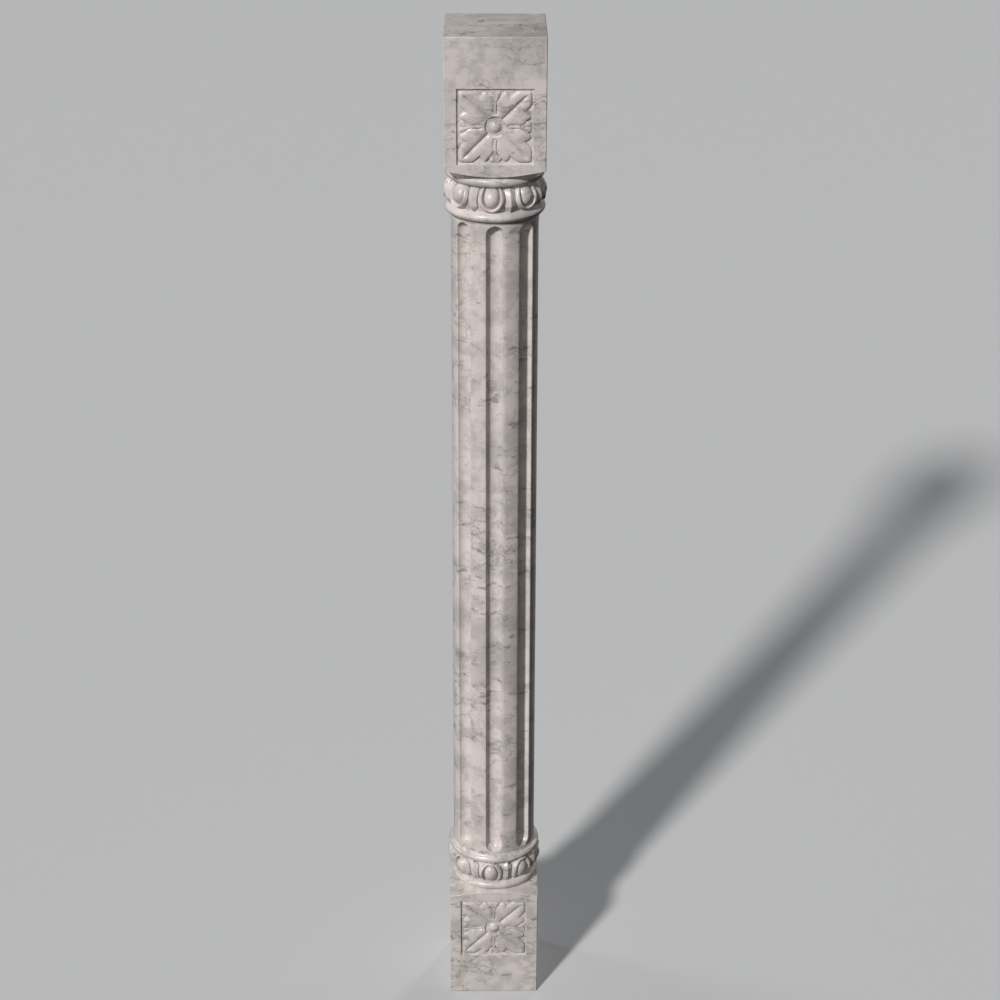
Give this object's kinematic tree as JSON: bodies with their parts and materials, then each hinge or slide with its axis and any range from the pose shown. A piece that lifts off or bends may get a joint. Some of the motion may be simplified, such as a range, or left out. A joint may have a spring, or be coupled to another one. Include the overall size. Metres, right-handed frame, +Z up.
{
  "type": "fluted column",
  "caption": "Slender marble column with a fluted shaft, egg-and-dart rings and square end blocks carved with rosettes, for carrying a shelf, beam or slab.",
  "frame": {"origin": "centre of the square underside, on the surface that the column stands on", "axes": "+Z up along the column, -Y towards the front face, +X to the right of the front face"},
  "size_m": [0.1054, 0.1054, 1.118],
  "materials": {
    "marble": "satin"
  },
  "bodies": {
    "root": {"column": "marble"}
  },
  "joints": []
}
